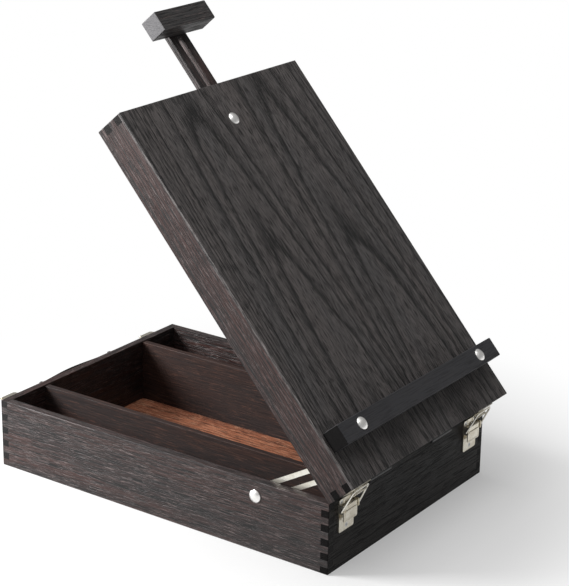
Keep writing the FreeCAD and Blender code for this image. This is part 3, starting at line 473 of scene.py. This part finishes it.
def makeLeather():
    material, tree, shader = newMaterial("blackLeather")
    where = objectPlace(tree)
    at = inMillimetres(tree, where)
    marks = useGroup(tree, handlingMarks, {"Place": where, "Smudge Size": 16.0})
    inputs = {"Vector": at, "Scale": 0.5, "Detail": 2.0}
    warped = addNode(tree, "ShaderNodeTexNoise", inputs).outputs["Color"]
    bent = addNode(tree, "ShaderNodeVectorMath", {0: at, 1: warped}, operation="ADD").outputs[0]
    cells = addNode(tree, "ShaderNodeTexVoronoi", {"Vector": bent, "Scale": 1.1},
                    feature="DISTANCE_TO_EDGE").outputs["Distance"]
    crease = ease(tree, cells, 0.0, 0.16)
    fine = stretched(tree, at, (3.0, 3.0, 3.0), 2.0, 0.6)
    # The colour is darker along the creases between the grain's cells: painted shade in the grain
    colour = mixColour(tree, crease, (0.006, 0.0055, 0.005), (0.024, 0.021, 0.019))
    colour = mixColour(tree, times(tree, marks["Smudge"], 0.5), colour, (0.040, 0.034, 0.030))
    tree.links.new(colour, shader.inputs["Base Color"])
    rough = maths(tree, "SUBTRACT", 0.56, times(tree, marks["Smudge"], 0.14))
    tree.links.new(rough, shader.inputs["Roughness"])
    height = maths(tree, "ADD", crease, times(tree, fine, 0.3))
    addBump(tree, shader, height, 0.5, 0.2 * millimetre)
    return material


def makeThread():
    material, tree, shader = newMaterial("waxedThread")
    inputs = {"Vector": objectPlace(tree), "Scale": 900.0, "Distortion": 1.0}
    twist = addNode(tree, "ShaderNodeTexWave", inputs, wave_type="BANDS",
                    bands_direction="DIAGONAL").outputs["Fac"]
    # The darker bands between the twisted strands are painted shade
    colour = mixColour(tree, twist, (0.020, 0.017, 0.015), (0.060, 0.052, 0.046))
    tree.links.new(colour, shader.inputs["Base Color"])
    addBump(tree, shader, twist, 0.4, 0.1 * millimetre)
    shader.inputs["Roughness"].default_value = 0.6
    return material


def strapSection(halfWidth, swell):
    # points round the strap's section: across its width, and away from the bars
    look = strapLook
    across = 28
    outer, inner = [], []
    for step in range(across + 1):
        s = halfWidth * math.sin((2 * step / across - 1) * math.pi / 2)
        fromEdge = halfWidth - abs(s)
        rounding = look["edgeRound"] * max(0.0, 1 - fromEdge / look["edgeRound"]) ** 2
        fromRow = (fromEdge - stitchLook["inset"]) / look["grooveWidth"]
        groove = look["groove"] * math.exp(-fromRow ** 2)
        crown = look["crown"] * swell * (1 - (s / halfWidth) ** 2)
        outer.append((s, look["thickness"] - rounding - groove + crown))
        inner.append((s, rounding))
    return outer + inner[::-1]


def strapFrame():
    # the middle and half of the strap's width, and how far out the rings' bars are
    low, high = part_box("handle_strap")
    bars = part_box("handle_ring_left")[1].y - strapLook["barRadius"]
    return (low.z + high.z) / 2, (high.z - low.z) / 2, bars


def makeStrap():
    look = strapLook
    middle, halfWidth, bar = strapFrame()
    mesh = bmesh.new()
    rings = []
    path = strapPath()
    for index, (x, y) in enumerate(path):
        before = path[max(index - 1, 0)]
        after = path[min(index + 1, len(path) - 1)]
        out = Vector((after[1] - before[1], before[0] - after[0], 0)).normalized()
        fromTip = min(index, len(path) - 1 - index)
        narrowed = max(0.0, 1 - fromTip / look["tipSteps"])
        tipped = 1 - look["tipTaper"] * narrowed ** 2
        onFront = y > 0 and out.y > 0.5
        swell = max(0.0, 1 - abs(x) / look["half"]) if onFront else 0.0
        rings.append([mesh.verts.new(Vector((x, bar + y, middle + s)) + out * t)
                      for s, t in strapSection(halfWidth * look["widthShare"] * tipped, swell)])
    count = len(rings[0])
    for first, second in zip(rings, rings[1:]):
        for index in range(count):
            after = (index + 1) % count
            mesh.faces.new((first[index], first[after], second[after], second[index]))
    mesh.faces.new(rings[0])
    mesh.faces.new(list(reversed(rings[-1])))
    bmesh.ops.recalc_face_normals(mesh, faces=mesh.faces)
    for face in mesh.faces:
        face.smooth = True
    data = bpy.data.meshes.new("leather_strap")
    mesh.to_mesh(data)
    mesh.free()
    strap = bpy.data.objects.new("leather_strap", data)
    bpy.context.scene.collection.objects.link(strap)
    data.materials.append(makeLeather())
    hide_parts("handle_strap")
    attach(strap, "handle")
    print("strap made")


def makeStitchTree(thread):
    tree = bpy.data.node_groups.new("stitchRow", "GeometryNodeTree")
    sockets = {}
    tree.interface.new_socket(name="Line", in_out="INPUT", socket_type="NodeSocketGeometry")
    for label, key in (("Pitch", "pitch"), ("Stitch Length", "length"),
                       ("Thread Radius", "threadRadius")):
        socket = tree.interface.new_socket(name=label, in_out="INPUT",
                                           socket_type="NodeSocketFloat")
        socket.default_value = stitchLook[key]
        sockets[key] = socket.identifier
    tree.interface.new_socket(name="Stitches", in_out="OUTPUT", socket_type="NodeSocketGeometry")
    given = tree.nodes.new("NodeGroupInput").outputs
    result = tree.nodes.new("NodeGroupOutput")
    line = addNode(tree, "GeometryNodeMeshToCurve", {"Mesh": given["Line"]}).outputs[0]
    spaced = addNode(tree, "GeometryNodeResampleCurve", {"Curve": line, "Length": given["Pitch"]},
                     mode="LENGTH").outputs[0]
    bead = addNode(tree, "GeometryNodeMeshIcoSphere",
                   {"Radius": 1.0, "Subdivisions": 2}).outputs["Mesh"]
    halfLength = times(tree, given["Stitch Length"], 0.5)
    radius = given["Thread Radius"]
    size = addNode(tree, "ShaderNodeCombineXYZ",
                   {"X": halfLength, "Y": radius, "Z": radius}).outputs[0]
    stitch = addNode(tree, "GeometryNodeTransform", {"Geometry": bead, "Scale": size}).outputs[0]
    tangent = tree.nodes.new("GeometryNodeInputTangent").outputs[0]
    turned = addNode(tree, "FunctionNodeAlignRotationToVector", {"Vector": tangent},
                     axis="X").outputs[0]
    placed = addNode(tree, "GeometryNodeInstanceOnPoints",
                     {"Points": spaced, "Instance": stitch, "Rotation": turned}).outputs[0]
    real = addNode(tree, "GeometryNodeRealizeInstances", {"Geometry": placed}).outputs[0]
    dressed = addNode(tree, "GeometryNodeSetMaterial",
                      {"Geometry": real, "Material": thread}).outputs[0]
    tree.links.new(dressed, result.inputs[0])
    return tree, sockets


def makeStitches():
    middle, halfWidth, bar = strapFrame()
    look = strapLook
    vertices, edges = [], []
    reach = look["half"] - stitchLook["endMargin"]
    ring = look["barRadius"] + look["play"]
    lineSteps = 120
    for row in (-1, 1):
        start = len(vertices)
        for step in range(lineSteps + 1):
            x = reach * (2 * step / lineSteps - 1)
            y = bar + ring + bowed(x) + look["thickness"] - look["groove"] * stitchLook["sunk"]
            vertices.append((x, y, middle + row * (halfWidth - stitchLook["inset"])))
        edges += [(index, index + 1) for index in range(start, len(vertices) - 1)]
    data = bpy.data.meshes.new("stitch_lines")
    data.from_pydata(vertices, edges, [])
    rows = bpy.data.objects.new("stitch_lines", data)
    bpy.context.scene.collection.objects.link(rows)
    tree, sockets = makeStitchTree(makeThread())
    modifier = rows.modifiers.new("stitches", "NODES")
    modifier.node_group = tree
    for key, identifier in sockets.items():
        modifier[identifier] = stitchLook[key]
    finishTree(rows, "strap_stitches", "handle")
    print("stitches made")


def finishTree(source, name, body):
    # the evaluated result becomes a plain mesh, and the object that carried the tree goes
    bpy.context.view_layer.update()
    evaluated = source.evaluated_get(bpy.context.evaluated_depsgraph_get())
    data = bpy.data.meshes.new_from_object(evaluated)
    data.name = name
    bpy.data.objects.remove(source)
    piece = bpy.data.objects.new(name, data)
    bpy.context.scene.collection.objects.link(piece)
    for face in data.polygons:
        face.use_smooth = True
    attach(piece, body)


makeStrap()
makeStitches()


# Studio
studio = {
    "floorColour": 0.50, "floorReach": 14.0, "floorDrop": 0.2 * millimetre, "floorLift": 0.36,
    "clearStart": 0.27, "clearEnd": 0.47, "worldStrength": 0.12, "worldInMetal": 0.42,
    "lamps": [  # name, place, aimed at, size, watts
        ("keyFromBackLeft", (-0.75, 0.88, 0.62), (0.0, 0.0, 0.10), 0.50, 29.0),
        ("overhead", (-0.35, -0.05, 2.1), (0.0, 0.0, 0.0), 1.6, 24.0)]}


def seenDirectly(tree):
    path = addNode(tree, "ShaderNodeLightPath").outputs
    glossy = maths(tree, "MAXIMUM", path["Is Camera Ray"], path["Is Glossy Ray"])
    return maths(tree, "MAXIMUM", glossy, path["Is Transmission Ray"])


def makeFloor():
    data = bpy.data.meshes.new("floor")
    reach = studio["floorReach"]
    below = -studio["floorDrop"]
    data.from_pydata([(-reach, -reach, below), (reach, -reach, below), (reach, reach, below),
                      (-reach, reach, below)], [], [(0, 1, 2, 3)])
    floor = bpy.data.objects.new("floor", data)
    bpy.context.scene.collection.objects.link(floor)
    material = bpy.data.materials.new("paleFloor")
    material.use_nodes = True
    tree = material.node_tree
    tree.nodes.clear()
    grey = studio["floorColour"]
    diffuse = addNode(tree, "ShaderNodeBsdfDiffuse", {"Color": (grey, grey, grey, 1.0)}).outputs[0]
    seen = seenDirectly(tree)
    lift = addNode(tree, "ShaderNodeEmission",
                   {"Strength": times(tree, seen, studio["floorLift"])}).outputs[0]
    near = addNode(tree, "ShaderNodeAddShader", {0: diffuse, 1: lift}).outputs[0]
    white = addNode(tree, "ShaderNodeEmission", {"Strength": 1.0}).outputs[0]
    away = addNode(tree, "ShaderNodeVectorMath", {0: objectPlace(tree)},
                   operation="LENGTH").outputs["Value"]
    clear = times(tree, ease(tree, away, studio["clearStart"], studio["clearEnd"]), seen)
    mixed = addNode(tree, "ShaderNodeMixShader", {0: clear, 1: near, 2: white}).outputs[0]
    output = tree.nodes.new("ShaderNodeOutputMaterial")
    tree.links.new(mixed, output.inputs[0])
    data.materials.append(material)


def makeLamps():
    for name, place, target, size, watts in studio["lamps"]:
        lamp = bpy.data.lights.new(name, "AREA")
        lamp.size = size
        lamp.energy = watts
        holder = bpy.data.objects.new(name, lamp)
        holder.location = place
        aim = Vector(target) - Vector(place)
        holder.rotation_euler = aim.to_track_quat("-Z", "Y").to_euler()
        bpy.context.scene.collection.objects.link(holder)


def makeWorld():
    world = bpy.data.worlds.new("studioWorld")
    world.use_nodes = True
    tree = world.node_tree
    tree.nodes.clear()
    path = addNode(tree, "ShaderNodeLightPath").outputs
    seen = maths(tree, "MAXIMUM", path["Is Camera Ray"], path["Is Transmission Ray"])
    ambient = studio["worldStrength"]
    mirrored = times(tree, path["Is Glossy Ray"], studio["worldInMetal"] - ambient)
    unseen = maths(tree, "ADD", mirrored, ambient)
    strength = addNode(tree, "ShaderNodeMapRange",
                       {"Value": seen, "To Min": unseen, "To Max": 1.0}).outputs[0]
    background = addNode(tree, "ShaderNodeBackground", {"Strength": strength}).outputs[0]
    output = tree.nodes.new("ShaderNodeOutputWorld")
    tree.links.new(background, output.inputs[0])
    bpy.context.scene.world = world


cameraLook = {"place": (-1.42914, -1.05412, 0.82199), "yaw": 54.92, "down": 19.58, "roll": 0.84,
              "lens": 117.26, "clipEnd": 60.0}


def makeCamera():
    yaw, down, roll = (math.radians(cameraLook[key]) for key in ("yaw", "down", "roll"))
    level = math.cos(down)
    forward = Vector((math.sin(yaw) * level, math.cos(yaw) * level, -math.sin(down)))
    right = Vector((math.cos(yaw), -math.sin(yaw), 0.0))
    up = right.cross(forward)
    sideways = right * math.cos(roll) + up * math.sin(roll)
    upwards = up * math.cos(roll) - right * math.sin(roll)
    turn = Matrix((sideways, upwards, -forward)).transposed()
    data = bpy.data.cameras.new("viewCamera")
    data.lens = cameraLook["lens"]
    data.clip_end = cameraLook["clipEnd"]
    camera = bpy.data.objects.new("viewCamera", data)
    camera.matrix_world = Matrix.Translation(cameraLook["place"]) @ turn.to_4x4()
    bpy.context.scene.collection.objects.link(camera)
    bpy.context.scene.camera = camera


makeFloor()
makeLamps()
makeWorld()
makeCamera()
bpy.context.scene.view_settings.view_transform = "Standard"
print("studio ready")
